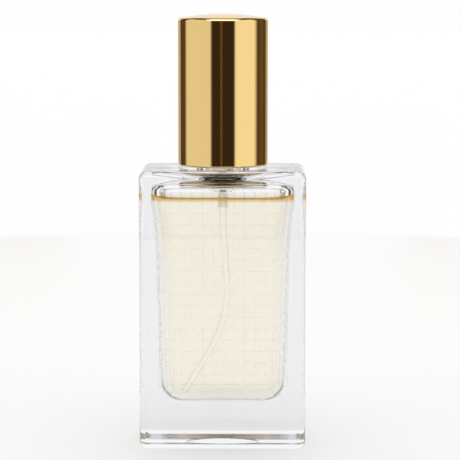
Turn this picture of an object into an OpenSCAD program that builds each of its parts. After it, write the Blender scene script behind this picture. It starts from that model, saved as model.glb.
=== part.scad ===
// Perfume bottle: a thick-walled square glass flacon with a crimped spray pump,
// a pressed dip tube, a metal-clad actuator and collar, and a tall lift-off cap.
// Front is -Y, the engraved grid is on the back, and the base stands on z = 0.

/* [Glass body] */
// Width of the glass body
body_w = 46; // [40:0.5:54]
// Depth of the glass body
body_d = 30; // [27:0.5:36]
// Height of the flat shoulder above the base
shoulder_z = 77.6; // [70:0.2:90]
// Radius of the four upright edges
upright_edge_r = 1.8; // [1:0.1:2.6]
// Radius of the edges round the shoulder
shoulder_edge_r = 2; // [1:0.1:2.6]
// Radius of the edges round the base
base_edge_r = 2.4; // [1:0.1:3]
// Diameter of the low round plinth under the cap
plinth_d = 24.9; // [22:0.1:26]
// Height of the low round plinth
plinth_h = 0.8; // [0.4:0.1:1.6]
// Depth of the dished push-up in the base
push_up = 0.8; // [0.3:0.1:1.5]
// Radius of the dished push-up where it meets the base
push_up_r = 11; // [6:0.5:12]

/* [Inside of the glass] */
// Height of the inner floor, which is the thickness of the heavy base
floor_z = 12.8; // [8:0.2:20]
// Thickness of the glass between the top of the inner walls and the shoulder
shoulder_wall = 3.8; // [3:0.1:5]
// Width of the inside at the floor
inner_w_floor = 34.6; // [28:0.2:36]
// Width of the inside at the start of the flare
inner_w_middle = 37.2; // [32:0.2:38]
// Width of the inside under the shoulder
inner_w_top = 40; // [36:0.2:41]
// Depth of the inside from front to back
inner_d = 22; // [18:0.2:23]
// Height at which the inside starts to flare
flare_z = 56; // [45:1:60]
// Height of the fragrance
fill_z = 69.9; // [30:0.1:70.5]

/* [Engraved grid] */
// Number of cells across the back
grid_columns = 12; // [4:2:12]
// Number of cells up the back
grid_rows = 17; // [4:1:17]
// Width of one cell
grid_cell_w = 3.03; // [2:0.01:3.1]
// Height of one cell
grid_cell_h = 3.3; // [2:0.01:3.4]
// Height of the lowest line
grid_bottom_z = 14.35; // [10:0.05:16]
// Width of an engraved line
grid_line_w = 0.3; // [0.15:0.05:0.5]
// Depth of an engraved line
grid_line_depth = 0.15; // [0.05:0.05:0.3]

/* [Neck] */
// Outside diameter of the crimp bead
bead_d = 15; // [14.5:0.1:15.2]
// Diameter of the neck below the bead
neck_d = 13.4; // [13:0.1:13.6]
// Diameter of the bore through the neck
neck_bore_d = 10.2; // [9.6:0.1:10.4]
// Height of the neck above the shoulder
neck_h = 8; // [8:0.1:9]
// Height of the bead
bead_h = 3.4; // [3:0.1:4]

/* [Spray pump] */
// How far the actuator travels when it is pressed
stroke = 4.5; // [3:0.1:4.5]
// How far the piston slides on the stem to open the outlet
piston_lift = 0.5; // [0.3:0.1:0.5]
// Radius of the metering bore
pump_bore_r = 2.7; // [2.6:0.05:2.8]
// Diameter of the inlet ball
ball_d = 2; // [1.8:0.1:2.2]
// Outside diameter of the dip tube
tube_d = 2.2; // [2:0.1:2.4]
// Inside diameter of the dip tube
tube_bore_d = 1.3; // [1:0.1:1.5]

/* [Collar and actuator] */
// Outside diameter of the collar
collar_d = 17.5; // [17:0.1:18]
// Height of the collar's top above the neck
collar_top = 8.6; // [8.6:0.1:9]
// Outside diameter of the actuator
actuator_d = 12.8; // [12.6:0.1:12.9]
// Height of the actuator's top above the neck
actuator_top = 19.9; // [19:0.1:22]
// Height of the spray hole above the neck
spray_h = 16.5; // [15.5:0.1:17]

/* [Cap] */
// Outside diameter of the cap
cap_d = 25; // [24:0.1:26]
// Height of the cap's lower rim above the base
cap_rim_z = 78.5; // [78.5:0.1:79]
// Height of the cap's upper edge, where the crown begins
cap_edge_z = 118.7; // [115:0.1:122]
// Rise of the domed crown above the upper edge
crown_rise = 1.8; // [1:0.1:2.5]
// Wall of the cap shell
cap_wall = 0.6; // [0.4:0.1:0.8]

/* [Hidden] */
$fn = 96;

GLASS = [0.92, 0.94, 0.95, 0.45];
FRAGRANCE = [0.95, 0.9, 0.7, 0.6];
GOLD = [0.85, 0.66, 0.33];
WHITE_PLASTIC = [0.93, 0.93, 0.91];
CLEAR_PLASTIC = [0.88, 0.89, 0.88, 0.7];
STEEL = [0.72, 0.73, 0.75];
SEAL = [0.8, 0.8, 0.78];

eps = 0.01;
fit_gap = 0.02;          // between pieces of one body that are pressed together
neck_z = shoulder_z + neck_h;
ceiling_z = shoulder_z - shoulder_wall;
inner_corner_w = 5.2;    // the inside's upright corners are drawn out from front to back
inner_corner_d = 7.5;
floor_edge_r = 5;
ceiling_edge_r = 2;
arch_rise = 1.4;         // from the top of the inner walls up to the throat
throat_r = 1.4;          // how much wider the throat starts than the bore

// Heights of the pump's pieces, all measured from the top of the neck.
gasket_t = 0.8;
flange_top = 2;          // top of the housing's flange
closure_top = 3;         // top of the closure's flange
chimney_top = 6.6;
skirt_bottom = -1.2;     // lower end of the closure's skirt, the piston's stop
barrel_bottom = -13.1;
funnel_bottom = -14.9;
tail_end = -18.8;
ledge_z = -11.6;         // the return spring stands here
chamber_bottom = -14.2;
tube_stop = -15;
pin_bottom = -6.4;
spring_stop = -5;        // underside of the valve pin's flange
piston_bottom = -4.2;
piston_recess = -2.4;
stem_shoulder = 1.6;
stem_top = 14.6;
socket_bottom = 11.4;    // where the stem enters the actuator

barrel_r = 3.7;
flange_r = 6.4;
closure_socket_r = 3.2;
closure_bore_r = 2.2;
stem_r = 1.3;
stem_shoulder_r = 1.85;
stem_bore_r = 0.6;
pin_socket = 0.6;        // how far the stem stands in the valve pin
piston_body_r = 2.1;
seat_r = 0.7;            // hole under the inlet ball
tail_r = 1.5;
ferrule_wall = 0.35;
ferrule_r = bead_d / 2 + fit_gap + ferrule_wall;
ferrule_top = closure_top + ferrule_wall;
nozzle_r = 2;
nozzle_depth = 2.6;      // how deep the nozzle insert sits in the actuator

// Route of the dip tube in the plane of the two wide faces: straight down out of the
// tail, a faint lean to the right, then a bend to the left and a straight run to the floor.
lean = 4;                // degrees
final_lean = -31;
lean_bend_r = 110;
main_bend_r = 37;
lean_run = 12;
tube_end_z = 14.4;
tube_start_z = neck_z + tail_end;

function tube_dir(a) = [sin(a), 0, -cos(a)];
function tube_right(a) = [cos(a), 0, sin(a)];
tube_p0 = [0, 0, tube_start_z];
lean_centre = tube_p0 + lean_bend_r * tube_right(0);
tube_p1 = lean_centre - lean_bend_r * tube_right(lean);
tube_p2 = tube_p1 + lean_run * tube_dir(lean);
main_centre = tube_p2 - main_bend_r * tube_right(lean);
tube_p3 = main_centre + main_bend_r * tube_right(final_lean);
tube_run = (tube_p3[2] - tube_end_z) / cos(final_lean);

// A rectangle w wide and h high standing on y = 0, with its corners rounded as true arcs.
module rounded_outline(w, h, low_r, high_r) {
    polygon([[-w / 2 + low_r, 0], [w / 2 - low_r, 0], [w / 2, low_r], [w / 2, h - high_r],
             [w / 2 - high_r, h], [-w / 2 + high_r, h], [-w / 2, h - high_r], [-w / 2, low_r]]);
    for (side = [-1, 1]) {
        translate([side * (w / 2 - low_r), low_r]) circle(low_r);
        translate([side * (w / 2 - high_r), h - high_r]) circle(high_r);
    }
}

module upright_plate(w, h, low_r, high_r, thickness) {
    rotate([90, 0, 0])
        translate([0, 0, -thickness / 2])
            linear_extrude(thickness) rounded_outline(w, h, low_r, high_r);
}

module glass_block() {
    intersection() {
        upright_plate(body_w, shoulder_z, base_edge_r, shoulder_edge_r, body_d + 2);
        rotate([0, 0, 90])
            upright_plate(body_d, shoulder_z, base_edge_r, shoulder_edge_r, body_w + 2);
        translate([0, -body_d / 2, -1])
            linear_extrude(shoulder_z + 2)
                rounded_outline(body_w, body_d, upright_edge_r, upright_edge_r);
    }
}

// One level of the inside: a rectangle with rounded corners, drawn in by an inset.
module inner_level(w, z, inset = 0) {
    translate([0, 0, z])
        linear_extrude(eps)
            hull()
                for (sx = [-1, 1], sy = [-1, 1])
                    translate([sx * (w / 2 - inner_corner_w), sy * (inner_d / 2 - inner_corner_d)])
                        scale([inner_corner_w - inset, inner_corner_d - inset])
                            circle(1, $fn = 32);
}

// Tapered walls over a round-edged floor, then a flare up to a round-edged, arched ceiling.
module inner_space() {
    edge_turns = [0 : 18 : 90];
    hull() {
        for (a = edge_turns)
            inner_level(inner_w_floor, floor_z + floor_edge_r * (1 - sin(a)),
                        floor_edge_r * (1 - cos(a)));
        inner_level(inner_w_middle, flare_z);
    }
    hull() {
        inner_level(inner_w_middle, flare_z);
        for (a = edge_turns)
            inner_level(inner_w_top, ceiling_z - ceiling_edge_r * (1 - sin(a)),
                        ceiling_edge_r * (1 - cos(a)));
        translate([0, 0, ceiling_z + arch_rise])
            cylinder(h = eps, r = neck_bore_d / 2 + throat_r);
    }
}

module neck_finish() {
    bead_slope = 0.7;
    rotate_extrude()
        polygon([[0, shoulder_z - 1], [neck_d / 2, shoulder_z - 1],
                 [neck_d / 2, neck_z - bead_h - bead_slope], [bead_d / 2, neck_z - bead_h],
                 [bead_d / 2, neck_z - 0.5], [bead_d / 2 - 0.5, neck_z], [0, neck_z]]);
}

module engraved_grid() {
    panel_w = grid_columns * grid_cell_w;
    panel_h = grid_rows * grid_cell_h;
    cut = grid_line_depth + 1;
    translate([0, body_d / 2 - grid_line_depth, grid_bottom_z]) {
        for (i = [0 : grid_columns])
            translate([(i - grid_columns / 2) * grid_cell_w - grid_line_w / 2, 0,
                       -grid_line_w / 2])
                cube([grid_line_w, cut, panel_h + grid_line_w]);
        for (j = [0 : grid_rows])
            translate([-panel_w / 2, 0, j * grid_cell_h - grid_line_w / 2])
                cube([panel_w, cut, grid_line_w]);
    }
}

module glass_bottle() {
    dish_r = (push_up_r * push_up_r + push_up * push_up) / (2 * push_up);
    color(GLASS)
        difference() {
            union() {
                glass_block();
                translate([0, 0, shoulder_z - 1])
                    cylinder(h = plinth_h + 1, d = plinth_d);
                neck_finish();
            }
            inner_space();
            translate([0, 0, ceiling_z])
                cylinder(h = neck_z - ceiling_z + 1, d = neck_bore_d);
            translate([0, 0, ceiling_z + arch_rise])
                cylinder(h = throat_r, r1 = neck_bore_d / 2 + throat_r, r2 = neck_bore_d / 2);
            translate([0, 0, push_up - dish_r]) sphere(dish_r);
            engraved_grid();
        }
}

// Stations along the dip tube, each a point and the tube's angle to the plumb line there.
function tube_stations() =
    concat([[tube_p0 + [0, 0, tube_stop - tail_end], 0]],
           [for (i = [0 : 3])
                let (a = lean * i / 3) [lean_centre - lean_bend_r * tube_right(a), a]],
           [for (i = [0 : 12])
                let (a = lean + (final_lean - lean) * i / 12)
                    [main_centre + main_bend_r * tube_right(a), a]],
           [[tube_p3 + tube_run * tube_dir(final_lean), final_lean]]);

function tube_ring(station, r, sides) =
    [for (k = [0 : sides - 1])
         let (side = 360 * k / sides)
             station[0] + r * cos(side) * tube_right(station[1]) + [0, r * sin(side), 0]];

// Side walls between rings; turned inside out for a bore.
function ring_walls(first, rings, sides, inward) =
    [for (i = [0 : rings - 2], k = [0 : sides - 1])
         let (a = first + i * sides + k, b = first + i * sides + (k + 1) % sides)
             inward ? [a, a + sides, b + sides, b] : [a, b, b + sides, a + sides]];

module tube_rod(r) {
    sides = 16;
    stations = tube_stations();
    rings = len(stations);
    points = [for (s = stations) each tube_ring(s, r, sides)];
    top = [for (k = [sides - 1 : -1 : 0]) k];
    foot = [for (k = [0 : sides - 1]) (rings - 1) * sides + k];
    polyhedron(points, concat(ring_walls(0, rings, sides, false), [top, foot]));
}

module hollow_tube(r, bore_r) {
    sides = 16;
    stations = tube_stations();
    rings = len(stations);
    inner = rings * sides;
    points = concat([for (s = stations) each tube_ring(s, r, sides)],
                    [for (s = stations) each tube_ring(s, bore_r, sides)]);
    last = (rings - 1) * sides;
    top = [for (k = [0 : sides - 1]) [k, inner + k, inner + (k + 1) % sides, (k + 1) % sides]];
    foot = [for (k = [0 : sides - 1])
                [last + k, last + (k + 1) % sides, inner + last + (k + 1) % sides,
                 inner + last + k]];
    polyhedron(points, concat(ring_walls(0, rings, sides, false),
                              ring_walls(inner, rings, sides, true), top, foot));
}

module dip_tube() {
    color(CLEAR_PLASTIC) hollow_tube(tube_d / 2, tube_bore_d / 2);
}

module perfume_liquid() {
    color(FRAGRANCE)
        difference() {
            intersection() {
                inner_space();
                translate([-body_w / 2, -body_d / 2, 0]) cube([body_w, body_d, fill_z]);
            }
            tube_rod(tube_d / 2);
            translate([0, 0, neck_z + tail_end])
                cylinder(h = tube_stop - tail_end + 3, r = tail_r);
        }
}

module pump_housing() {
    chamber_r = ball_d / 2 + 0.2;
    lip_r = ball_d / 2 - 0.15;
    color(WHITE_PLASTIC)
        translate([0, 0, neck_z])
            rotate_extrude()
                polygon([[tube_d / 2, tail_end], [tail_r, tail_end], [tail_r, funnel_bottom],
                         [barrel_r, barrel_bottom], [barrel_r, gasket_t],
                         [flange_r, gasket_t], [flange_r, flange_top],
                         [closure_socket_r, flange_top],
                         [closure_socket_r, skirt_bottom], [pump_bore_r, skirt_bottom],
                         [pump_bore_r, ledge_z], [lip_r, ledge_z], [lip_r, ledge_z - 0.4],
                         [chamber_r, ledge_z - 0.4], [chamber_r, chamber_bottom],
                         [seat_r, chamber_bottom], [seat_r, tube_stop],
                         [tube_d / 2, tube_stop]]);
}

module inlet_ball() {
    seat_clearance = 0.02;
    ball_r = ball_d / 2;
    rest_height = sqrt(ball_r * ball_r - seat_r * seat_r) + seat_clearance;
    color(STEEL)
        translate([0, 0, neck_z + chamber_bottom + rest_height]) sphere(ball_r);
}

// A round-wire compression spring between two heights.
module coil_spring(mean_r, wire_r, turns, low, high) {
    steps = 20 * turns;
    sides = 8;
    rise = high - low - 2 * wire_r;
    ring = [for (i = [0 : steps], k = [0 : sides - 1])
                let (turn = 360 * turns * i / steps,
                     side = 360 * k / sides,
                     r = mean_r + wire_r * cos(side))
                    [r * cos(turn), r * sin(turn),
                     low + wire_r + rise * i / steps + wire_r * sin(side)]];
    first_end = [for (k = [sides - 1 : -1 : 0]) k];
    last_end = [for (k = [0 : sides - 1]) steps * sides + k];
    polyhedron(ring, concat(ring_walls(0, steps + 1, sides, false), [first_end, last_end]));
}

module return_spring() {
    color(STEEL)
        translate([0, 0, neck_z]) coil_spring(2.2, 0.2, 4.5, ledge_z, spring_stop);
}

module outlet_spring() {
    color(STEEL)
        translate([0, 0, neck_z]) coil_spring(1.75, 0.15, 5, piston_recess, stem_shoulder);
}

// Pressed on the stem's lower end: it stops the return spring and seals the piston.
module valve_pin() {
    pin_r = 1.75;
    seal_r = 2.35;
    color(WHITE_PLASTIC)
        translate([0, 0, neck_z])
            rotate_extrude()
                polygon([[0, pin_bottom], [pin_r, pin_bottom], [pin_r, spring_stop],
                         [seal_r, spring_stop], [seal_r, piston_bottom],
                         [stem_r, piston_bottom], [stem_r, pin_bottom + pin_socket],
                         [0, pin_bottom + pin_socket]]);
}

// The cross port is closed by the piston until the piston has slid by its lift.
module pump_stem() {
    port_r = 0.3;
    port_z = piston_bottom + piston_lift * 0.7;
    stem_low = pin_bottom + pin_socket;
    color(WHITE_PLASTIC)
        translate([0, 0, neck_z])
            difference() {
                union() {
                    translate([0, 0, stem_low])
                        cylinder(h = stem_top - stem_low, r = stem_r);
                    translate([0, 0, stem_shoulder])
                        cylinder(h = stem_top - stem_shoulder, r = stem_shoulder_r);
                }
                translate([0, 0, pin_bottom])
                    cylinder(h = stem_top - pin_bottom + 1, r = stem_bore_r);
                translate([0, 0, port_z])
                    rotate([0, 90, 0]) cylinder(h = 3 * stem_r, r = port_r, center = true);
            }
}

// Two flared lips run in the bore; the recess on top holds the outlet spring.
module pump_piston() {
    lip_r = pump_bore_r - 0.02;
    waist_r = pump_bore_r - 0.25;
    sleeve_r = stem_r + 0.02;
    color(CLEAR_PLASTIC)
        translate([0, 0, neck_z])
            rotate_extrude()
                polygon([[sleeve_r, piston_bottom], [piston_body_r, piston_bottom],
                         [piston_body_r, piston_bottom + 0.8],
                         [waist_r - 0.1, piston_bottom + 0.8], [lip_r, piston_bottom],
                         [lip_r, piston_bottom + 0.6], [waist_r, piston_bottom + 1.2],
                         [waist_r, skirt_bottom - 0.8], [lip_r, skirt_bottom - 0.4],
                         [lip_r, skirt_bottom], [piston_body_r, skirt_bottom],
                         [piston_body_r, piston_recess], [sleeve_r, piston_recess]]);
}

module housing_closure() {
    guide_r = stem_shoulder_r + 0.1;
    guide_low = 2.6;
    plug_r = closure_socket_r - fit_gap;
    rim_r = 5.6;
    chimney_r = 3.3;
    color(WHITE_PLASTIC)
        translate([0, 0, neck_z])
            rotate_extrude()
                polygon([[closure_bore_r, skirt_bottom], [plug_r, skirt_bottom],
                         [plug_r, flange_top], [rim_r, flange_top], [rim_r, closure_top],
                         [chimney_r, closure_top], [chimney_r, chimney_top],
                         [guide_r, chimney_top], [guide_r, guide_low],
                         [closure_bore_r, guide_low]]);
}

module neck_gasket() {
    color(SEAL)
        translate([0, 0, neck_z])
            difference() {
                cylinder(h = gasket_t, r = 6.6);
                translate([0, 0, -1]) cylinder(h = gasket_t + 2, r = barrel_r + 0.1);
            }
}

// Thin gold-lacquered aluminium cup crimped under the bead of the neck.
module crimp_ferrule() {
    inner_r = ferrule_r - ferrule_wall;
    crimp_r = neck_d / 2 + 0.1;
    crimp_z = -bead_h - 0.75;
    chimney_hole_r = 3.5;
    color(GOLD)
        translate([0, 0, neck_z])
            rotate_extrude()
                polygon([[crimp_r, crimp_z - ferrule_wall], [ferrule_r, crimp_z - ferrule_wall],
                         [ferrule_r, ferrule_top], [chimney_hole_r, ferrule_top],
                         [chimney_hole_r, closure_top], [inner_r, closure_top],
                         [inner_r, crimp_z], [crimp_r, crimp_z]]);
}

collar_wall = 0.4;
collar_bottom = -7.05;

// Plastic ring that holds the decorative collar on the ferrule.
module collar_insert() {
    inner_r = ferrule_r + fit_gap;
    outer_r = collar_d / 2 - collar_wall - fit_gap;
    low = collar_bottom + 0.25;
    high = collar_top - collar_wall - fit_gap;
    shelf_r = 6.75;
    shelf_low = ferrule_top + fit_gap;
    shelf_high = shelf_low + 0.8;
    color(WHITE_PLASTIC)
        translate([0, 0, neck_z])
            rotate_extrude()
                polygon([[inner_r, low], [outer_r, low], [outer_r, high], [inner_r, high],
                         [inner_r, shelf_high], [shelf_r, shelf_high], [shelf_r, shelf_low],
                         [inner_r, shelf_low]]);
}

module collar_shell() {
    outer_r = collar_d / 2;
    hole_r = actuator_d / 2 + 0.25;
    edge = 0.4;
    color(GOLD)
        translate([0, 0, neck_z])
            rotate_extrude()
                polygon([[outer_r - collar_wall, collar_bottom], [outer_r, collar_bottom],
                         [outer_r, collar_top - edge], [outer_r - edge, collar_top],
                         [hole_r, collar_top], [hole_r, collar_top - collar_wall],
                         [outer_r - collar_wall, collar_top - collar_wall]]);
}

actuator_bottom = ferrule_top + stroke + 0.45;
shell_wall = 0.3;

module actuator_core() {
    outer_r = actuator_d / 2 - shell_wall - fit_gap;
    top = actuator_top - shell_wall - fit_gap;
    recess_r = 5.2;          // room for the ferrule's chimney as the actuator goes down
    recess_top = 13;
    socket_r = 2.9;
    color(WHITE_PLASTIC)
        translate([0, 0, neck_z])
            difference() {
                rotate_extrude()
                    polygon([[recess_r, actuator_bottom], [outer_r, actuator_bottom],
                             [outer_r, top], [0, top], [0, socket_bottom],
                             [socket_r, socket_bottom], [socket_r, recess_top],
                             [recess_r, recess_top]]);
                translate([0, 0, socket_bottom - 1])
                    cylinder(h = stem_top - socket_bottom + 1, r = stem_shoulder_r + fit_gap);
                translate([0, 0, stem_top - eps])
                    cylinder(h = spray_h - stem_top + eps, r = stem_bore_r);
                translate([0, 0, spray_h])
                    rotate([90, 0, 0]) cylinder(h = actuator_d, r = stem_bore_r);
                translate([0, nozzle_depth - actuator_d / 2, spray_h])
                    rotate([90, 0, 0]) cylinder(h = actuator_d, r = nozzle_r);
            }
}

module actuator_shell() {
    outer_r = actuator_d / 2;
    inner_r = outer_r - shell_wall;
    edge = 0.5;
    dish_depth = 0.2;
    dish_half = 4;
    dish_r = (dish_half * dish_half + dish_depth * dish_depth) / (2 * dish_depth);
    color(GOLD)
        translate([0, 0, neck_z])
            difference() {
                rotate_extrude()
                    polygon([[inner_r, actuator_bottom], [outer_r, actuator_bottom],
                             [outer_r, actuator_top - edge], [outer_r - edge, actuator_top],
                             [0, actuator_top], [0, actuator_top - shell_wall],
                             [inner_r, actuator_top - shell_wall]]);
                translate([0, 0, spray_h])
                    rotate([90, 0, 0]) cylinder(h = actuator_d, r = nozzle_r + 0.2);
                translate([0, 0, actuator_top - dish_depth + dish_r]) sphere(dish_r);
            }
}

module nozzle_insert() {
    back = actuator_d / 2 - nozzle_depth;
    face = actuator_d / 2 - 0.35;
    swirl_r = 0.8;
    hole_r = 0.2;
    color(WHITE_PLASTIC)
        translate([0, 0, neck_z + spray_h])
            rotate([90, 0, 0])
                difference() {
                    translate([0, 0, back])
                        cylinder(h = face - back, r = nozzle_r - fit_gap);
                    cylinder(h = actuator_d, r = hole_r);
                    translate([0, 0, face - 0.4]) cylinder(h = 1, r1 = 0.3, r2 = 1.6);
                    cylinder(h = back + 1.2, r = swirl_r);
                }
}

// Outline of the cap's crown from the side wall in to the axis: a small rolled edge,
// then a shallow dome.
function cap_outline(r, edge_z, rise, edge_r) =
    let (dome_rise = rise - edge_r * 0.7,
         dome_span = r - edge_r * 0.6,
         dome_r = (dome_span * dome_span + dome_rise * dome_rise) / (2 * dome_rise),
         dome_low = edge_z + rise - dome_r)
        concat([for (a = [0 : 15 : 60])
                    [r - edge_r + edge_r * cos(a), edge_z + edge_r * sin(a) * 0.81]],
               [for (x = [dome_span - 1 : -1.2 : 0.8])
                    [x, dome_low + sqrt(dome_r * dome_r - x * x)]],
               [[0, edge_z + rise]]);

module cap_shell() {
    r = cap_d / 2;
    foot = 0.25;
    color(GOLD)
        rotate_extrude($fn = 128)
            polygon(concat([[r - cap_wall, cap_rim_z], [r - foot, cap_rim_z],
                            [r, cap_rim_z + foot]],
                           cap_outline(r, cap_edge_z, crown_rise, 0.8),
                           [[0, cap_edge_z], [r - cap_wall, cap_edge_z]]));
}

liner_r = cap_d / 2 - cap_wall - fit_gap;
liner_grip_r = collar_d / 2 + 0.03;
liner_low_z = cap_rim_z + 0.6;
liner_roof_z = neck_z + 26.6;
liner_t = 0.9;

module cap_liner() {
    rib_count = 6;
    color(WHITE_PLASTIC)
        difference() {
            union() {
                translate([0, 0, liner_low_z]) cylinder(h = liner_t, r = liner_r);
                translate([0, 0, liner_low_z])
                    cylinder(h = liner_roof_z - liner_low_z, r = liner_grip_r + liner_t);
                translate([0, 0, liner_roof_z]) cylinder(h = liner_t, r = liner_r);
                for (i = [0 : rib_count - 1])
                    rotate([0, 0, 360 * i / rib_count])
                        translate([liner_grip_r + liner_t / 2, -liner_t / 2, liner_low_z])
                            cube([liner_r - liner_grip_r - liner_t, liner_t,
                                  liner_roof_z - liner_low_z + eps]);
            }
            translate([0, 0, liner_low_z - 1])
                cylinder(h = liner_roof_z - liner_low_z + 1, r = liner_grip_r);
        }
}

module cap_weight() {
    low = liner_roof_z + liner_t + fit_gap;
    hole_r = 3;
    color(STEEL)
        difference() {
            translate([0, 0, low]) cylinder(h = cap_edge_z - fit_gap - low, r = liner_r);
            translate([0, 0, low - 1]) cylinder(h = cap_edge_z - low + 2, r = hole_r);
        }
}

glass_bottle();
perfume_liquid();
dip_tube();
pump_housing();
inlet_ball();
return_spring();
outlet_spring();
valve_pin();
pump_stem();
pump_piston();
housing_closure();
neck_gasket();
crimp_ferrule();
collar_insert();
collar_shell();
actuator_core();
actuator_shell();
nozzle_insert();
cap_shell();
cap_liner();
cap_weight();
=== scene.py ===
"""A glass spray bottle of fragrance with a tall gold cap, on a white studio table."""
import math

import bmesh
import bpy
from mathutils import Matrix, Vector


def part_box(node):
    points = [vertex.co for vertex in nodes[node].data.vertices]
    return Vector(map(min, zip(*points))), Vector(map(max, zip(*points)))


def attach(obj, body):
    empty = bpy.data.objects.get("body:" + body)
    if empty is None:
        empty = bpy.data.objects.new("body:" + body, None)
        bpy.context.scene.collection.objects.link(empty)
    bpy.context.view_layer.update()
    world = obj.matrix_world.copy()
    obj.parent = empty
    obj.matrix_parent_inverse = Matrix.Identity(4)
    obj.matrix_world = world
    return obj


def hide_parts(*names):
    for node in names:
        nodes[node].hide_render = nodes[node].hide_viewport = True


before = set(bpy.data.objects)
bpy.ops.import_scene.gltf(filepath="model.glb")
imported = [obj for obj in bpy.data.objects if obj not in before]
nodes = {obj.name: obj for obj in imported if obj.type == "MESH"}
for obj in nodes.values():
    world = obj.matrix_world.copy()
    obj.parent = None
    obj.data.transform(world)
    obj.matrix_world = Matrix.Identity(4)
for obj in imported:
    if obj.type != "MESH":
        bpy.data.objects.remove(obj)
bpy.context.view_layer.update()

# ---------------------------------------------------------------- camera
# A long lens 62 cm from the bottle, a little above its cap and looking slightly down, so
# that the front is nearly square on and the shoulder shows as a thin strip.
camera_data = bpy.data.cameras.new("camera")
camera_data.lens = 173.7
camera_data.sensor_width = 36
camera_data.shift_x = 0.0150
camera = bpy.data.objects.new("camera", camera_data)
camera.location = (0.0076, -0.61995, 0.1328)
camera.rotation_euler = (math.radians(90 - 6.71), 0, math.radians(0.7))
scene = bpy.context.scene
scene.collection.objects.link(camera)
scene.camera = camera

# ---------------------------------------------------------------- table and studio light
# A wide white laminate table in an evenly white room. A curved screen stands round the
# bottle for the gold to reflect: softboxes at both sides, black flags between them.
scene.view_settings.view_transform = "Standard"
scene.view_settings.look = "None"
scene.cycles.max_bounces = 20
scene.cycles.transmission_bounces = 20
scene.cycles.glossy_bounces = 8


def linear(colour):
    """A #rrggbb colour in the linear values that shaders take."""
    parts = [int(colour[i:i + 2], 16) / 255 for i in (1, 3, 5)]
    parts = [c / 12.92 if c <= 0.04045 else ((c + 0.055) / 1.055) ** 2.4 for c in parts]
    return (*parts, 1)


def add(tree, kind, settings=None, **inputs):
    """A node with its settings; inputs go by name, or by number as _0, to values or outputs."""
    node = tree.nodes.new(kind)
    for name, value in (settings or {}).items():
        setattr(node, name, value)
    for name, value in inputs.items():
        socket = node.inputs[int(name[1:]) if name[1:].isdigit() else name.replace("_", " ")]
        if isinstance(value, bpy.types.NodeSocket):
            tree.links.new(value, socket)
        else:
            socket.default_value = value
    return node


def new_material(name):
    """A material with an empty node tree, and that tree."""
    material = bpy.data.materials.new(name)
    material.use_nodes = True
    material.node_tree.nodes.clear()
    return material, material.node_tree


def mesh_object(name, mesh, *materials):
    """A piece in the frame's own place, with its materials in order."""
    piece = bpy.data.objects.new(name, mesh)
    scene.collection.objects.link(piece)
    mesh.materials.clear()
    for material in materials:
        mesh.materials.append(material)
    return piece


table_half = 4.0
air_gap = 0.00005
table_mesh = bpy.data.meshes.new("table_top")
table_mesh.from_pydata([(x * table_half, y * table_half, -air_gap)
                        for x, y in ((-1, -1), (1, -1), (1, 1), (-1, 1))], [], [(0, 1, 2, 3)])
laminate, tree = new_material("white_laminate")
surface = add(tree, "ShaderNodeBsdfPrincipled", Base_Color=(0.95, 0.95, 0.95, 1),
              Roughness=0.6, Specular_IOR_Level=0.2)
add(tree, "ShaderNodeOutputMaterial", Surface=surface.outputs["BSDF"])
mesh_object("table_top", table_mesh, laminate)

world = bpy.data.worlds.new("white_room")
world.use_nodes = True
tree = world.node_tree
tree.nodes.clear()
seen = add(tree, "ShaderNodeLightPath")
room = add(tree, "ShaderNodeBackground", Strength=1.05, Color=(1, 1, 1, 1))
backdrop = add(tree, "ShaderNodeBackground", Color=linear("#fefefe"))
both = add(tree, "ShaderNodeMixShader", _0=seen.outputs["Is Camera Ray"],
           _1=room.outputs[0], _2=backdrop.outputs[0])
add(tree, "ShaderNodeOutputWorld", Surface=both.outputs[0])
scene.world = world

# The screen's cards by bearing from the camera's side, in degrees, positive to the right.
# Between two cards the light falls off softly.
SCREEN_R, SCREEN_TOP = 0.5, 0.55
REAR_WALL, SIDE_FLAG, FRONT_FLAG, FLAG_SLIT = "#ecebea", "#544430", "#362a20", "#66553f"
LEFT_SOFTBOX, RIGHT_SOFTBOX = "#e3e1dd", "#f5f5f3"
SCREEN_CARDS = [(-180, -145, REAR_WALL), (-139, -113, SIDE_FLAG), (-104, -33, LEFT_SOFTBOX),
                (-27, -7, FRONT_FLAG), (-4.5, -3, FLAG_SLIT), (0, 28, FRONT_FLAG),
                (34, 87, RIGHT_SOFTBOX), (99, 110, SIDE_FLAG), (116, 118, FLAG_SLIT),
                (126, 142, SIDE_FLAG), (147, 180, REAR_WALL)]


def screen_card(name, points, faces, material, behind_glass=False):
    """Part of the screen. Only reflections show it, or only what is seen through glass."""
    mesh = bpy.data.meshes.new(name)
    mesh.from_pydata(points, [], faces)
    card = mesh_object(name, mesh, material)
    card.visible_camera = False
    card.visible_diffuse = False
    card.visible_shadow = False
    card.visible_glossy = not behind_glass
    card.visible_transmission = behind_glass


def curved(start, end, radius, low, high, steps=48):
    """Points and faces of an upright strip on a circle, between two bearings in degrees."""
    points = []
    for i in range(steps + 1):
        bearing = math.radians(start + (end - start) * i / steps)
        points += [(radius * math.sin(bearing), -radius * math.cos(bearing), z)
                   for z in (low, high)]
    return points, [(2 * i, 2 * i + 1, 2 * i + 3, 2 * i + 2) for i in range(steps)]


def card_finish(name, colour, strength=1.0):
    """An evenly lit card's finish."""
    material, tree = new_material(name)
    glow = add(tree, "ShaderNodeEmission", Color=linear(colour), Strength=strength)
    add(tree, "ShaderNodeOutputMaterial", Surface=glow.outputs[0])
    return material


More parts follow.
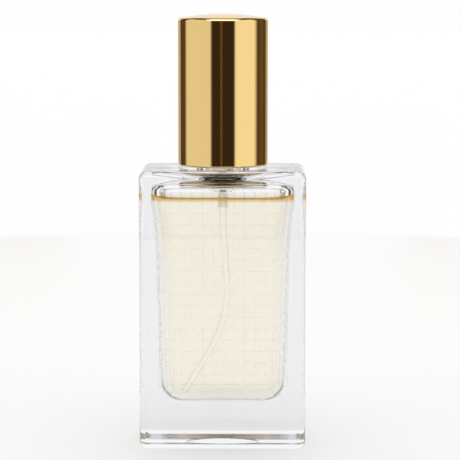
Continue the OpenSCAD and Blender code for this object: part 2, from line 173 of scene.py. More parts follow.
screen, tree = new_material("softboxes_and_flags")
place = add(tree, "ShaderNodeTexCoord")
split = add(tree, "ShaderNodeSeparateXYZ", _0=place.outputs["Object"])
behind = add(tree, "ShaderNodeMath", {"operation": "MULTIPLY"}, _0=split.outputs["Y"], _1=-1.0)
bearing = add(tree, "ShaderNodeMath", {"operation": "ARCTAN2"}, _0=split.outputs["X"],
              _1=behind.outputs[0])
share = add(tree, "ShaderNodeMapRange", Value=bearing.outputs[0],
            From_Min=-math.pi, From_Max=math.pi)
tone = add(tree, "ShaderNodeValToRGB", Fac=share.outputs[0])
card_ends = [(end, colour) for start, stop, colour in SCREEN_CARDS for end in (start, stop)]
stops = tone.color_ramp.elements
while len(stops) < len(card_ends):
    stops.new(0.5)
for ramp_stop, (degrees, colour) in zip(stops, card_ends):
    ramp_stop.position = (degrees + 180) / 360
    ramp_stop.color = linear(colour)
glow = add(tree, "ShaderNodeEmission", Color=tone.outputs["Color"], Strength=1.12)
add(tree, "ShaderNodeOutputMaterial", Surface=glow.outputs[0])
screen_card("screen", *curved(-180, 180, SCREEN_R, 0, SCREEN_TOP, 96), screen)

black_card = card_finish("black_card", "#5e5040")
screen_card("ceiling_flag", [(x * SCREEN_R, y * SCREEN_R, SCREEN_TOP)
                             for x, y in ((-1, -1), (1, -1), (1, 1), (-1, 1))],
            [(0, 1, 2, 3)], black_card)
for side, name in ((-1, "left_flag"), (1, "right_flag")):
    screen_card(name, *curved(side * 108, side * 142, SCREEN_R, 0, SCREEN_TOP), black_card, True)

# Over the camera hangs the key light, which draws the bright line on the cap's front edge.
screen_card("top_softbox", [(x, y, SCREEN_TOP - 0.01)
                            for x, y in ((-0.2, -0.45), (0.2, -0.45), (0.2, 0.1), (-0.2, 0.1))],
            [(0, 1, 2, 3)], card_finish("white_card", "#ffffff", 1.1))
screen_card("key_light", *curved(-45, 45, 0.46, 0.32, 0.54),
            card_finish("key_card", "#ffffff", 3.0))

# Low strips behind, at both sides, keep the cap's outer edges a quiet gold.
edge_card = card_finish("edge_card", "#c8b490", 0.9)
for side in (-1, 1):
    screen_card("edge_strip", *curved(side * 146, side * 170, 0.49, 0, 0.118), edge_card)

# ---------------------------------------------------------------- glass bottle
# Clear flint glass, blown in a square mould and fire polished, so its edges are round and
# its inner wall is a little uneven. The heavy base is dished and has a narrow bearing rim.
MM = 0.001
low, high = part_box("glass_bottle")
body_w, body_d = high.x - low.x, high.y - low.y
neck_z = high.z
neck_height = 8 * MM
shoulder_z = neck_z - neck_height
CORNER_STEPS, WIDE_STEPS, DEEP_STEPS = 16, 30, 20
RING = 4 * CORNER_STEPS + 2 * WIDE_STEPS + 2 * DEEP_STEPS


def square_ring(width, depth, corner_w, z, corner_d=None):
    """Points round a rectangle with round corners, anticlockwise from above. A corner is
    corner_w wide and corner_d deep, or round where only one is given."""
    corner_w = max(corner_w, 0.01 * MM)
    corner_d = max(corner_d or corner_w, 0.01 * MM)
    half_w, half_d = width / 2 - corner_w, depth / 2 - corner_d
    points = []
    for quarter, (sx, sy) in enumerate(((1, 1), (-1, 1), (-1, -1), (1, -1))):
        for i in range(CORNER_STEPS + 1):
            turn = math.radians(90 * quarter + 90 * i / CORNER_STEPS)
            points.append(Vector((sx * half_w + corner_w * math.cos(turn),
                                  sy * half_d + corner_d * math.sin(turn), z)))
        start = points[-1]
        if quarter % 2:
            steps, end = DEEP_STEPS, Vector((start.x, start.y - 2 * sy * half_d, z))
        else:
            steps, end = WIDE_STEPS, Vector((start.x - 2 * sx * half_w, start.y, z))
        points += [start.lerp(end, i / steps) for i in range(1, steps)]
    return points


def round_ring(radius, z):
    """The same number of points round a circle, in step with the square ring."""
    step = 2 * math.pi / RING
    first = math.pi / 2 - (CORNER_STEPS + WIDE_STEPS / 2) * step
    return [Vector((radius * math.cos(first + i * step), radius * math.sin(first + i * step), z))
            for i in range(RING)]


def loft(rings):
    """A closed shape through rings of points, with a flat face over each end."""
    bm = bmesh.new()
    loops = [[bm.verts.new(p) for p in ring] for ring in rings]
    for below, above in zip(loops, loops[1:]):
        for i in range(RING):
            bm.faces.new((below[i], below[(i + 1) % RING], above[(i + 1) % RING], above[i]))
    bm.faces.new(reversed(loops[0]))
    bm.faces.new(loops[-1])
    return bm


def arc(centre, radius, start, end, steps):
    """Points of an arc in a profile of distances and heights, by angle in degrees."""
    turns = [math.radians(start + (end - start) * i / steps) for i in range(steps + 1)]
    return [(centre[0] + radius * math.cos(t), centre[1] + radius * math.sin(t)) for t in turns]


def evaluated(piece):
    """A plain mesh with the piece's modifiers applied; the piece itself is removed."""
    bpy.context.view_layer.update()
    graph = bpy.context.evaluated_depsgraph_get()
    mesh = bpy.data.meshes.new_from_object(piece.evaluated_get(graph))
    mesh.name = piece.name
    bpy.data.objects.remove(piece)
    return mesh


def smooth_mesh(name, bm, sharp=32):
    """A smooth mesh from a bmesh, whose flats keep their own direction at their edges."""
    bmesh.ops.remove_doubles(bm, verts=bm.verts, dist=0.002 * MM)
    bmesh.ops.dissolve_degenerate(bm, edges=bm.edges, dist=0.001 * MM)
    bmesh.ops.recalc_face_normals(bm, faces=bm.faces)
    mesh = bpy.data.meshes.new(name)
    bm.to_mesh(mesh)
    bm.free()
    return weighted(name, mesh, sharp)


def weighted(name, mesh, sharp=32):
    """The mesh shaded smooth, with large faces keeping their direction at rounded edges."""
    mesh.shade_smooth()
    mesh.set_sharp_from_angle(angle=math.radians(sharp))
    holder = mesh_object(name, mesh, *mesh.materials)
    weigh = holder.modifiers.new("weigh", "WEIGHTED_NORMAL")
    weigh.weight = 90
    weigh.keep_sharp = True
    return evaluated(holder)


edge_r, base_r, top_r = 1.8 * MM, 2.4 * MM, 2.0 * MM
push_up, push_r = 0.8 * MM, 11 * MM
dish_r = (push_r ** 2 + push_up ** 2) / (2 * push_up)
dish_rim = 0.2 * MM


def outer_ring(inset, z):
    """The outside's outline at a height, drawn in by inset."""
    corner = max(edge_r - 0.6 * inset, 0.3 * MM)
    return square_ring(body_w - 2 * inset, body_d - 2 * inset, corner, z)


rings = [round_ring(push_r * share, push_up - dish_r
                    + math.sqrt(dish_r ** 2 - (push_r * share) ** 2))
         for share in (0.04, 0.2, 0.4, 0.6, 0.8, 0.92, 0.98)]
rings += [round_ring(push_r + dish_rim, 0)]
rings += [outer_ring(base_r - x, z) for x, z in arc((0, base_r), base_r, -90, 0, 12)]
rings += [outer_ring(top_r - x, shoulder_z - top_r + y)
          for x, y in arc((0, 0), top_r, 0, 90, 12)]

# The low round plinth that the cap comes down to, then the neck with its crimp bead.
plinth_r, plinth_z, plinth_edge = 12.45 * MM, shoulder_z + 0.8 * MM, 0.15 * MM
neck_r, bead_r, bore_r = 6.7 * MM, 7.5 * MM, 5.1 * MM
bead_z, bead_slope, lip_r, foot_r = neck_z - 3.4 * MM, 0.7 * MM, 0.5 * MM, 0.4 * MM
rings += [round_ring(plinth_r + plinth_edge - x, shoulder_z + plinth_edge + y)
          for x, y in arc((0, 0), plinth_edge, -90, 0, 4)]
rings += [round_ring(plinth_r - plinth_edge + x, plinth_z - plinth_edge + y)
          for x, y in arc((0, 0), plinth_edge, 0, 90, 4)]
rings += [round_ring(neck_r + foot_r - x, plinth_z + foot_r + y)
          for x, y in arc((0, 0), foot_r, -90, 0, 4)]
rings += [round_ring(neck_r, bead_z - bead_slope), round_ring(bead_r, bead_z)]
rings += [round_ring(bead_r - lip_r + x, neck_z - lip_r + y)
          for x, y in arc((0, 0), lip_r, 0, 90, 5)]
rings += [round_ring(bore_r + foot_r - x, neck_z - foot_r + y)
          for x, y in arc((0, 0), foot_r, 90, 0, 5)]

# The inside: a throat, an arched ceiling, walls that flare to the shoulder, a round floor.
floor_z, ceiling_z, flare_z = 12.8 * MM, 73.8 * MM, 56 * MM
floor_w, middle_w, top_w, inner_d = 34.6 * MM, 37.2 * MM, 40 * MM, 22 * MM
floor_r, ceiling_r, throat_r = 5 * MM, 2 * MM, 1.4 * MM
corner_w, corner_d = 5.2 * MM, 7.5 * MM
arch_rise = 1.4 * MM


def inner_width(z):
    """The width of the inside at a height: a slight draft, then an S-shaped flare."""
    if z < flare_z:
        return floor_w + (middle_w - floor_w) * max(0, z - floor_z) / (flare_z - floor_z)
    share = min(1, (z - flare_z) / (ceiling_z - ceiling_r - flare_z))
    return middle_w + (top_w - middle_w) * share * share * (3 - 2 * share)


def inner_ring(z, proud=0.0):
    """The inside's outline at a height, swollen by proud."""
    inset = 0
    if z < floor_z + floor_r:
        inset = floor_r - math.sqrt(max(0, floor_r ** 2 - (floor_z + floor_r - z) ** 2))
    if z > ceiling_z - ceiling_r:
        inset = ceiling_r - math.sqrt(max(0, ceiling_r ** 2 - (z - ceiling_z + ceiling_r) ** 2))
    return square_ring(inner_width(z) - 2 * inset + 2 * proud, inner_d - 2 * inset + 2 * proud,
                       corner_w - 0.6 * inset + proud, z, corner_d - 0.8 * inset + proud)


rings += [round_ring(bore_r + throat_r - x, ceiling_z + arch_rise + throat_r - y)
          for x, y in arc((0, 0), throat_r, 0, 75, 8)]
throat, wall_top = rings[-1], inner_ring(ceiling_z)
ceiling_steps, ceiling_droop = 14, 1.6
for i in range(1, ceiling_steps):
    share = i / ceiling_steps
    fall = share ** ceiling_droop
    rings.append([Vector((*a.lerp(b, share).xy, a.z + (b.z - a.z) * fall))
                  for a, b in zip(throat, wall_top)])
edge_steps, flare_steps, wall_steps = 12, 14, 8
top_z, foot_z = ceiling_z - ceiling_r, floor_z + floor_r
wall_heights = [top_z + ceiling_r * math.cos(math.pi / 2 * i / edge_steps)
                for i in range(edge_steps)]
wall_heights += [top_z + (flare_z - top_z) * i / flare_steps for i in range(flare_steps)]
wall_heights += [flare_z + (foot_z - flare_z) * i / wall_steps for i in range(wall_steps)]
wall_heights += [foot_z - floor_r * math.sin(math.pi / 2 * i / edge_steps)
                 for i in range(edge_steps + 1)]
rings += [inner_ring(z) for z in wall_heights]
body_mesh = smooth_mesh("glass_body", loft(rings))

# Fire-polished soda-lime flint: colourless, faintly cool through its depth, its walls not
# quite even. The grid is cut on the back with a round tool and left satin.
flint, tree = new_material("flint_glass")
place = add(tree, "ShaderNodeTexCoord")
sway = add(tree, "ShaderNodeTexNoise", Vector=place.outputs["Object"], Scale=60.0, Detail=0.0)
uneven = add(tree, "ShaderNodeBump", Height=sway.outputs["Fac"], Strength=0.2,
             Distance=0.02 * MM)
cut_face = add(tree, "ShaderNodeAttribute", {"attribute_name": "engraved"})
satin = add(tree, "ShaderNodeMapRange", Value=cut_face.outputs["Fac"], To_Max=0.3)
clear = add(tree, "ShaderNodeBsdfPrincipled", Base_Color=(1, 1, 1, 1), IOR=1.5,
            Roughness=satin.outputs[0], Transmission_Weight=1.0, Normal=uneven.outputs[0])
tint = add(tree, "ShaderNodeVolumeAbsorption", Color=(0.3, 0.34, 0.44, 1), Density=6.0)
add(tree, "ShaderNodeOutputMaterial", Surface=clear.outputs["BSDF"], Volume=tint.outputs[0])

grid = bpy.data.node_groups.new("engraved_grid", "GeometryNodeTree")
face_of = grid.interface
face_of.new_socket("Geometry", in_out="OUTPUT", socket_type="NodeSocketGeometry")
face_of.new_socket("Geometry", in_out="INPUT", socket_type="NodeSocketGeometry")
GRID = {"Columns": ("Int", 12), "Rows": ("Int", 17), "Cell Width": ("Float", 3.03 * MM),
        "Cell Height": ("Float", 3.3 * MM), "Lowest Line": ("Float", 14.35 * MM),
        "Tool Radius": ("Float", 0.2 * MM), "Tool Height": ("Float", 0.08 * MM),
        "Face": ("Float", body_d / 2)}
for name, (kind, value) in GRID.items():
    face_of.new_socket(name, in_out="INPUT", socket_type="NodeSocket" + kind)
given = add(grid, "NodeGroupInput").outputs


def calc(operation, a, b):
    """One step of arithmetic in the grid's node tree."""
    return add(grid, "ShaderNodeMath", {"operation": operation}, _0=a, _1=b).outputs[0]


wide = calc("MULTIPLY", given["Columns"], given["Cell Width"])
tall = calc("MULTIPLY", given["Rows"], given["Cell Height"])
tool_y = calc("ADD", given["Face"], given["Tool Height"])
left = calc("MULTIPLY", wide, -0.5)
middle = calc("MULTIPLY_ADD", tall, 0.5)
grid.links.new(given["Lowest Line"], middle.node.inputs[2])
cuts = []
for count, start, step, length, turn in (
        ("Columns", (left, tool_y, middle), ("X", given["Cell Width"]), tall, 0),
        ("Rows", (0.0, tool_y, given["Lowest Line"]), ("Z", given["Cell Height"]), wide,
         math.pi / 2)):
    tool = add(grid, "GeometryNodeMeshCylinder", Vertices=10, Radius=given["Tool Radius"],
               Depth=length)
    first = add(grid, "ShaderNodeCombineXYZ", X=start[0], Y=start[1], Z=start[2])
    pitch = add(grid, "ShaderNodeCombineXYZ", **{step[0]: step[1]})
    line = add(grid, "GeometryNodeMeshLine", Count=calc("ADD", given[count], 1.0),
               Start_Location=first.outputs[0], Offset=pitch.outputs[0])
    bars = add(grid, "GeometryNodeInstanceOnPoints", Points=line.outputs[0],
               Instance=tool.outputs[0], Rotation=(0, turn, 0))
    cuts.append(bars.outputs[0])
joined = add(grid, "GeometryNodeJoinGeometry")
for cut in cuts:
    grid.links.new(cut, joined.inputs[0])
solid = add(grid, "GeometryNodeRealizeInstances", _0=joined.outputs[0])
sides = []
for part, share in ((given["Geometry"], 0.0), (solid.outputs[0], 1.0)):
    marked = add(grid, "GeometryNodeStoreNamedAttribute",
                 {"data_type": "FLOAT", "domain": "FACE"}, _0=part, Name="engraved", Value=share)
    sides.append(marked.outputs[0])
carved = add(grid, "GeometryNodeMeshBoolean", {"operation": "DIFFERENCE", "solver": "EXACT"})
grid.links.new(sides[0], carved.inputs["Mesh 1"])
grid.links.new(sides[1], carved.inputs["Mesh 2"])
carved.inputs["Self Intersection"].default_value = True
one_glass = add(grid, "GeometryNodeSetMaterial", Geometry=carved.outputs["Mesh"], Material=flint)
add(grid, "NodeGroupOutput", _0=one_glass.outputs[0])

carver = mesh_object("glass_body", body_mesh, flint)
engraving = carver.modifiers.new("engraved_grid", "NODES")
engraving.node_group = grid
for item in face_of.items_tree:
    if item.in_out == "INPUT" and item.name in GRID:
        engraving[item.identifier] = GRID[item.name][1]
carved_mesh = evaluated(carver)
glass_piece = mesh_object("glass_body", weighted("glass_body", carved_mesh), flint)
# The glass is left out of the light that the table scatters, which it would dim too much.
# Its shadow stays.
glass_piece.visible_diffuse = False
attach(glass_piece, "bottle")
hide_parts("glass_bottle")

# ---------------------------------------------------------------- fragrance
# Alcohol with a little oil: clear pale straw, filled to just under the shoulder. It wets
# the glass, so its surface climbs the walls in a curved edge. The edge's amber tone is painted
# into the material in place of the light's long way through it.
fill_z = 69.3 * MM
soak = 0.03 * MM
rise, reach = 1.0 * MM, 0.9 * MM
side_gain, side_x = 0.6, 19 * MM


def wetted(ring, climb):
    """Lifts a ring of the surface by the climb, which grows towards the narrow walls."""
    for point in ring:
        point.z = fill_z + climb * (1 + side_gain * min(1, abs(point.x) / side_x) ** 6)
    return ring


rings = [inner_ring(z, soak) for z in reversed(wall_heights) if z < fill_z - 0.5 * MM]
for point in rings[0]:
    point.z -= soak
rings.append(wetted(inner_ring(fill_z + rise, soak), rise))
for inset in (0.08, 0.2, 0.4, 0.7, 1.1, 1.6, 2.4, 3.4, 5):
    inset *= MM
    outline = square_ring(inner_width(fill_z) + 2 * (soak - inset), inner_d + 2 * (soak - inset),
                          corner_w - 0.6 * inset, fill_z, corner_d - 0.9 * inset)
    rings.append(wetted(outline, rise * math.exp(-inset / reach)))
liquid_mesh = smooth_mesh("fragrance", loft(rings))

# Straw by the light's way through it. The amber of the thin edge against the glass is a painted
# tint for the light's long way through it, set by height, and weaker towards the back.
straw, tree = new_material("straw_fragrance")
place = add(tree, "ShaderNodeTexCoord")
split = add(tree, "ShaderNodeSeparateXYZ", _0=place.outputs["Object"])
climb = add(tree, "ShaderNodeMapRange", {"interpolation_type": "SMOOTHSTEP"},
            Value=split.outputs["Z"], From_Min=fill_z - 0.6 * MM, From_Max=fill_z + 0.3 * MM)
nearer = add(tree, "ShaderNodeMapRange", Value=split.outputs["Y"], From_Min=-6 * MM,
             From_Max=9 * MM, To_Min=1.0, To_Max=0.1)
# Painted amber: strongest at the edge's height and towards the front.
painted_amber = add(tree, "ShaderNodeMath", {"operation": "MULTIPLY"}, _0=climb.outputs[0],
            _1=nearer.outputs[0])
painted_edge_tone = add(tree, "ShaderNodeMix", {"data_type": "RGBA"}, Factor=painted_amber.outputs[0])
painted_edge_tone.inputs[6].default_value = (1, 1, 1, 1)
painted_edge_tone.inputs[7].default_value = linear("#e0b050")
clear = add(tree, "ShaderNodeBsdfPrincipled", Base_Color=painted_edge_tone.outputs[2], Roughness=0.0,
            IOR=1.36, Transmission_Weight=1.0, Specular_IOR_Level=0.1)
tint = add(tree, "ShaderNodeVolumeAbsorption", Color=(0.80, 0.63, 0.08, 1), Density=12.0)
add(tree, "ShaderNodeOutputMaterial", Surface=clear.outputs["BSDF"], Volume=tint.outputs[0])
liquid_piece = mesh_object("fragrance", liquid_mesh, straw)
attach(liquid_piece, "bottle")
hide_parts("perfume_liquid")

# ---------------------------------------------------------------- dip tube
# Extruded polyethylene, clear and soft: straight in the pump's tail, then pressed into a
# bend by the floor so that its open end rests in the lower left corner.
tube_r, tube_bore = 1.1 * MM, 0.65 * MM
tail_in, tail_out, open_end_z = neck_z - 15 * MM, neck_z - 18.8 * MM, 14.4 * MM
lean, final_lean = math.radians(4), math.radians(-31)
lean_bend_r, main_bend_r, lean_run = 110 * MM, 37 * MM, 12 * MM


def along(angle):
    """The tube's direction, and the one across it, at an angle from the plumb line."""
    return Vector((math.sin(angle), 0, -math.cos(angle))), Vector((math.cos(angle), 0,
                                                                   math.sin(angle)))


stations = [(Vector((0, 0, tail_in)), 0.0), (Vector((0, 0, tail_out)), 0.0)]
centre = stations[-1][0] + lean_bend_r * along(0)[1]
stations += [(centre - lean_bend_r * along(lean * i / 4)[1], lean * i / 4) for i in range(1, 5)]
stations.append((stations[-1][0] + lean_run * along(lean)[0], lean))
centre = stations[-1][0] - main_bend_r * along(lean)[1]
bend_steps = 24
for i in range(1, bend_steps + 1):
    angle = lean + (final_lean - lean) * i / bend_steps
    stations.append((centre + main_bend_r * along(angle)[1], angle))
last_run = (stations[-1][0].z - open_end_z) / math.cos(final_lean)
stations.append((stations[-1][0] + last_run * along(final_lean)[0], final_lean))

TUBE_SIDES = 32
bm = bmesh.new()
walls = []
for radius in (tube_r, tube_bore):
    walls.append([[bm.verts.new(point + radius * math.cos(turn) * along(angle)[1]
                                + Vector((0, radius * math.sin(turn), 0)))
                   for turn in (2 * math.pi * k / TUBE_SIDES for k in range(TUBE_SIDES))]
                  for point, angle in stations])
strips = [pair for wall in walls for pair in zip(wall, wall[1:])]
strips += [(walls[0][0], walls[1][0]), (walls[0][-1], walls[1][-1])]
for first, second in strips:
    for k in range(TUBE_SIDES):
        after = (k + 1) % TUBE_SIDES
        bm.faces.new((first[k], first[after], second[after], second[k]))
tube_mesh = smooth_mesh("dip_tube_wall", bm, 40)

# Natural polyethylene nearly disappears in the liquid; faint lines run along it from the die.
polyethylene, tree = new_material("extruded_polyethylene")
place = add(tree, "ShaderNodeTexCoord")
drawn = add(tree, "ShaderNodeMapping", Vector=place.outputs["Object"], Scale=(1, 1, 0.06))
lines = add(tree, "ShaderNodeTexNoise", Vector=drawn.outputs[0], Scale=3000.0, Detail=2.0)
ribbed = add(tree, "ShaderNodeBump", Height=lines.outputs["Fac"], Strength=0.05,
             Distance=0.01 * MM)
clear = add(tree, "ShaderNodeBsdfPrincipled", Base_Color=(1, 1, 1, 1), Roughness=0.0,
            IOR=1.11, Transmission_Weight=1.0, Normal=ribbed.outputs[0])
add(tree, "ShaderNodeOutputMaterial", Surface=clear.outputs["BSDF"])
tube_piece = mesh_object("dip_tube_wall", tube_mesh, polyethylene)
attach(tube_piece, "bottle")
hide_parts("dip_tube")

# ---------------------------------------------------------------- spray pump
# A crimp pump moulded in natural polypropylene: housing, piston, closure, and a white acetal
# stem with its valve pin. Only the funnel and tail of the housing show through the glass.


def finish_node(material, *names):
    """Gives a carried-over CAD piece its finish."""
    for name in names:
        nodes[name].data.materials.clear()
        nodes[name].data.materials.append(material)


# Milky and see-through in thin walls, with the soft flow marks of moulding.
natural, tree = new_material("natural_polypropylene")
place = add(tree, "ShaderNodeTexCoord")
flow = add(tree, "ShaderNodeTexNoise", Vector=place.outputs["Object"], Scale=900.0, Detail=3.0)
milky = add(tree, "ShaderNodeValToRGB", Fac=flow.outputs["Fac"])
milky.color_ramp.elements[0].color = linear("#f7f4ec")
milky.color_ramp.elements[1].color = linear("#fdfcf8")
gloss = add(tree, "ShaderNodeMapRange", Value=flow.outputs["Fac"], To_Min=0.05, To_Max=0.15)
skin = add(tree, "ShaderNodeBsdfPrincipled", Base_Color=milky.outputs["Color"], IOR=1.09,
           Roughness=gloss.outputs[0], Transmission_Weight=0.95)
add(tree, "ShaderNodeOutputMaterial", Surface=skin.outputs["BSDF"])
finish_node(natural, "pump_housing", "pump_piston", "housing_closure")

# Acetal is a dense, bright white with a satin sheen from the mould.
acetal, tree = new_material("white_acetal")
place = add(tree, "ShaderNodeTexCoord")
flow = add(tree, "ShaderNodeTexNoise", Vector=place.outputs["Object"], Scale=1200.0, Detail=2.0)
gloss = add(tree, "ShaderNodeMapRange", Value=flow.outputs["Fac"], To_Min=0.25, To_Max=0.4)
skin = add(tree, "ShaderNodeBsdfPrincipled", Base_Color=linear("#f4f3ee"), IOR=1.48,
           Roughness=gloss.outputs[0])
add(tree, "ShaderNodeOutputMaterial", Surface=skin.outputs["BSDF"])
finish_node(acetal, "valve_pin", "pump_stem")

# Ball and springs are stainless: the ball ground and bright, the wire drawn, with fine lines.
steel, tree = new_material("drawn_stainless_steel")
place = add(tree, "ShaderNodeTexCoord")
lines = add(tree, "ShaderNodeTexNoise", Vector=place.outputs["Object"], Scale=6000.0, Detail=2.0)
gloss = add(tree, "ShaderNodeMapRange", Value=lines.outputs["Fac"], To_Min=0.15, To_Max=0.32)
skin = add(tree, "ShaderNodeBsdfPrincipled", Base_Color=linear("#c9c8c4"), Metallic=1.0,
           Roughness=gloss.outputs[0])
add(tree, "ShaderNodeOutputMaterial", Surface=skin.outputs["BSDF"])
finish_node(steel, "inlet_ball", "return_spring", "outlet_spring")

# ---------------------------------------------------------------- neck seal and ferrule
# A foamed polyethylene gasket under the pump's flange, and the thin pressed cup that is
# crimped under the bead of the neck to hold the pump down.
foam, tree = new_material("foamed_polyethylene")
place = add(tree, "ShaderNodeTexCoord")
cell_size = 0.15 * MM
cells = add(tree, "ShaderNodeTexVoronoi", Vector=place.outputs["Object"], Scale=1 / cell_size)
pitted = add(tree, "ShaderNodeBump", Height=cells.outputs["Distance"], Strength=0.4,
             Distance=0.05 * MM)
skin = add(tree, "ShaderNodeBsdfPrincipled", Base_Color=linear("#c79c5a"), Roughness=0.7,
           IOR=1.5, Normal=pitted.outputs[0])
add(tree, "ShaderNodeOutputMaterial", Surface=skin.outputs["BSDF"])
finish_node(foam, "neck_gasket")

# Gold-lacquered aluminium, less bright than the cap, with fine lines from the press.
lacquered, tree = new_material("gold_lacquered_aluminium")
place = add(tree, "ShaderNodeTexCoord")
upright = add(tree, "ShaderNodeMapping", Vector=place.outputs["Object"], Scale=(1, 1, 0.08))
lines = add(tree, "ShaderNodeTexNoise", Vector=upright.outputs[0], Scale=2500.0, Detail=3.0)
gloss = add(tree, "ShaderNodeMapRange", Value=lines.outputs["Fac"], To_Min=0.14, To_Max=0.3)
skin = add(tree, "ShaderNodeBsdfPrincipled", Base_Color=(0.90, 0.66, 0.29, 1), Metallic=1.0,
           Roughness=gloss.outputs[0])
add(tree, "ShaderNodeOutputMaterial", Surface=skin.outputs["BSDF"])
finish_node(lacquered, "crimp_ferrule")

# ---------------------------------------------------------------- collar
# A polished gold aluminium shell over a white polypropylene ring, pressed down over the
# ferrule. Both ends of the shell are turned to soft edges.
low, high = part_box("collar_shell")
collar_r, collar_low, collar_high = high.x, low.z, high.z
collar_wall, collar_edge, collar_lip = 0.4 * MM, 0.55 * MM, 0.15 * MM
collar_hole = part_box("actuator_shell")[1].x + 0.25 * MM


def lathe(profile, steps=256):
    """Turns a closed outline of (radius, height) about the axis; radius 0 makes a pole."""
    bm = bmesh.new()
    loops = []
    for radius, z in profile:
        if radius < 1e-7:
            loops.append([bm.verts.new((0, 0, z))])
        else:
            loops.append([bm.verts.new((radius * math.cos(2 * math.pi * i / steps),
                                        radius * math.sin(2 * math.pi * i / steps), z))
                          for i in range(steps)])
    for below, above in zip(loops, loops[1:] + loops[:1]):
        if len(below) == 1 and len(above) == 1:
            continue
        for i in range(steps):
            corners = [below[i % len(below)], below[(i + 1) % len(below)],
                       above[(i + 1) % len(above)], above[i % len(above)]]
            unique = list(dict.fromkeys(corners))
            if len(unique) > 2:
                bm.faces.new(unique)
    return bm


profile = [(collar_r - collar_wall, collar_high - collar_wall),
           (collar_r - collar_wall, collar_low + collar_lip)]
profile += arc((collar_r - collar_lip, collar_low + collar_lip), collar_lip, 180, 360, 8)
profile += arc((collar_r - collar_edge, collar_high - collar_edge), collar_edge, 0, 90, 10)
profile += arc((collar_hole + collar_lip, collar_high - collar_lip), collar_lip, 90, 180, 4)
profile += [(collar_hole, collar_high - collar_wall)]
collar_mesh = smooth_mesh("collar_cladding", lathe(profile), 40)

# Bright-dipped and anodised: a mirror with the faintest grain from drawing and polishing.
gold, tree = new_material("gold_anodised_aluminium")
place = add(tree, "ShaderNodeTexCoord")
around = add(tree, "ShaderNodeMapping", Vector=place.outputs["Object"], Scale=(1, 1, 0.05))
grain = add(tree, "ShaderNodeTexNoise", Vector=around.outputs[0], Scale=1500.0, Detail=3.0)
gloss = add(tree, "ShaderNodeMapRange", Value=grain.outputs["Fac"], To_Min=0.045, To_Max=0.065)
metal = add(tree, "ShaderNodeBsdfPrincipled", Base_Color=(0.90, 0.655, 0.275, 1), Metallic=1.0,
            Roughness=gloss.outputs[0])
add(tree, "ShaderNodeOutputMaterial", Surface=metal.outputs["BSDF"])
collar_piece = mesh_object("collar_cladding", collar_mesh, gold)
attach(collar_piece, "bottle")
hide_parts("collar_shell")

# Moulded polypropylene in white: opaque, softly glossy, with slight sink and flow marks.
white, tree = new_material("white_polypropylene")
place = add(tree, "ShaderNodeTexCoord")
flow = add(tree, "ShaderNodeTexNoise", Vector=place.outputs["Object"], Scale=350.0, Detail=2.0)
tone = add(tree, "ShaderNodeValToRGB", Fac=flow.outputs["Fac"])
tone.color_ramp.elements[0].color = linear("#f0eee6")
tone.color_ramp.elements[1].color = linear("#f7f6f1")
gloss = add(tree, "ShaderNodeMapRange", Value=flow.outputs["Fac"], To_Min=0.3, To_Max=0.42)
sunk = add(tree, "ShaderNodeBump", Height=flow.outputs["Fac"], Strength=0.15,
           Distance=0.05 * MM)
skin = add(tree, "ShaderNodeBsdfPrincipled", Base_Color=tone.outputs["Color"], IOR=1.49,
           Roughness=gloss.outputs[0], Normal=sunk.outputs[0])
add(tree, "ShaderNodeOutputMaterial", Surface=skin.outputs["BSDF"])
finish_node(white, "collar_insert")

# ---------------------------------------------------------------- actuator
# The push button: a white moulded core in a drawn gold cup with a dished top for the finger,
# and the pressed-in spray nozzle in its side.
low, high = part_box("actuator_shell")
button_r, button_low, button_high = high.x, low.z, high.z
button_wall, button_edge = 0.3 * MM, 0.6 * MM
dish_r, dish_depth, dish_steps = 4.6 * MM, 0.2 * MM, 12
spray_z = (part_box("nozzle_insert")[0].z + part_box("nozzle_insert")[1].z) / 2
window_r = 2.2 * MM
profile = [(button_r - button_wall, button_high - dish_depth - button_wall),
           (button_r - button_wall, button_low)]
profile += arc((button_r - button_wall / 2, button_low + button_wall / 2), button_wall / 2,
               180, 360, 6)
profile += arc((button_r - button_edge, button_high - button_edge), button_edge, 0, 90, 8)
profile += [(dish_r * (1 - i / dish_steps),
             button_high - dish_depth * math.sin(math.pi / 2 * i / dish_steps))
            for i in range(dish_steps + 1)]
profile += [(0, button_high - dish_depth - button_wall)]
cup_mesh = smooth_mesh("button_cup", lathe(profile), 40)
cup = mesh_object("button_cup", cup_mesh, gold)
bm = bmesh.new()
bmesh.ops.create_cone(bm, cap_ends=True, segments=64, radius1=window_r, radius2=window_r,
                      depth=button_r)
for vert in bm.verts:
    vert.co = Vector((vert.co.x, -vert.co.z - button_r, vert.co.y + spray_z))
bmesh.ops.recalc_face_normals(bm, faces=bm.faces)
punch_mesh = bpy.data.meshes.new("window_punch")
bm.to_mesh(punch_mesh)
bm.free()
punch = mesh_object("window_punch", punch_mesh, gold)
window = cup.modifiers.new("window", "BOOLEAN")
window.object = punch
window.operation = "DIFFERENCE"
window.solver = "EXACT"
button_mesh = weighted("actuator_cladding", evaluated(cup), 40)
bpy.data.objects.remove(punch)
button_piece = mesh_object("actuator_cladding", button_mesh, gold)
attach(button_piece, "actuator")
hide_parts("actuator_shell")
finish_node(white, "actuator_core", "nozzle_insert")

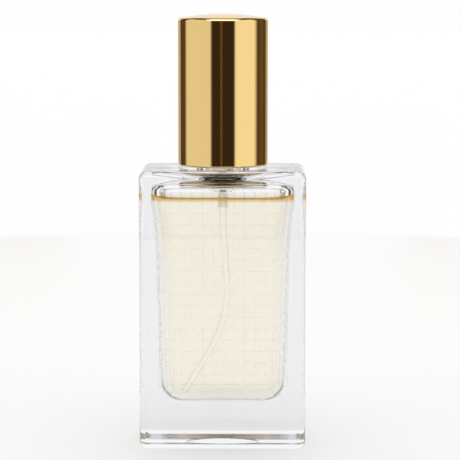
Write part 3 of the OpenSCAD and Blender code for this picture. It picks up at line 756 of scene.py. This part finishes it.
# ---------------------------------------------------------------- cap
# A drawn aluminium shell, polished and anodised gold, with a shallow domed crown and a
# small rolled edge at both ends.
low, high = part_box("cap_shell")
cap_r = (high.x - low.x) / 2
cap_low, cap_high = low.z, high.z
crown_rise = 1.95 * MM
edge_z = cap_high - crown_rise
crown_z = edge_z - 0.2 * MM
wall = 0.6 * MM
roll, roll_height = 0.95 * MM, 0.85
dome_half, dome_steps = cap_r - roll, 16
dome_rise = crown_rise - roll * roll_height
dome_r = (dome_half ** 2 + dome_rise ** 2) / (2 * dome_rise)
foot_r = 0.3 * MM
profile = [(cap_r - wall, crown_z), (cap_r - wall, cap_low + foot_r)]
profile += arc((cap_r - wall + foot_r, cap_low + foot_r), foot_r, 180, 270, 4)
profile += arc((cap_r - foot_r, cap_low + foot_r), foot_r, -90, 0, 5)
profile += arc((cap_r - roll, edge_z), roll, 0, 80, 9)
for i in range(1, dome_steps + 1):
    across = dome_half * (1 - i / dome_steps)
    profile.append((across, cap_high - dome_r + math.sqrt(dome_r ** 2 - across ** 2)))
profile += [(0, crown_z)]
cap_mesh = smooth_mesh("cap_cladding", lathe(profile), 40)

cap_piece = mesh_object("cap_cladding", cap_mesh, gold)
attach(cap_piece, "cap")
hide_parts("cap_shell")

# Inside the shell: a ribbed ivory liner that grips the collar, and above it a plated steel
# ring that gives the cap its weight.
ivory, tree = new_material("ivory_polypropylene")
place = add(tree, "ShaderNodeTexCoord")
flow = add(tree, "ShaderNodeTexNoise", Vector=place.outputs["Object"], Scale=350.0, Detail=2.0)
tone = add(tree, "ShaderNodeValToRGB", Fac=flow.outputs["Fac"])
tone.color_ramp.elements[0].color = linear("#f3e6c6")
tone.color_ramp.elements[1].color = linear("#f9f0d8")
gloss = add(tree, "ShaderNodeMapRange", Value=flow.outputs["Fac"], To_Min=0.32, To_Max=0.45)
skin = add(tree, "ShaderNodeBsdfPrincipled", Base_Color=tone.outputs["Color"], IOR=1.49,
           Roughness=gloss.outputs[0])
add(tree, "ShaderNodeOutputMaterial", Surface=skin.outputs["BSDF"])
finish_node(ivory, "cap_liner")

plated, tree = new_material("zinc_plated_steel")
place = add(tree, "ShaderNodeTexCoord")
spangle = add(tree, "ShaderNodeTexVoronoi", Vector=place.outputs["Object"], Scale=700.0)
tone = add(tree, "ShaderNodeValToRGB", Fac=spangle.outputs["Color"])
tone.color_ramp.elements[0].color = linear("#a9abad")
tone.color_ramp.elements[1].color = linear("#c3c5c6")
skin = add(tree, "ShaderNodeBsdfPrincipled", Base_Color=tone.outputs["Color"], Metallic=1.0,
           Roughness=0.38)
add(tree, "ShaderNodeOutputMaterial", Surface=skin.outputs["BSDF"])
finish_node(plated, "cap_weight")
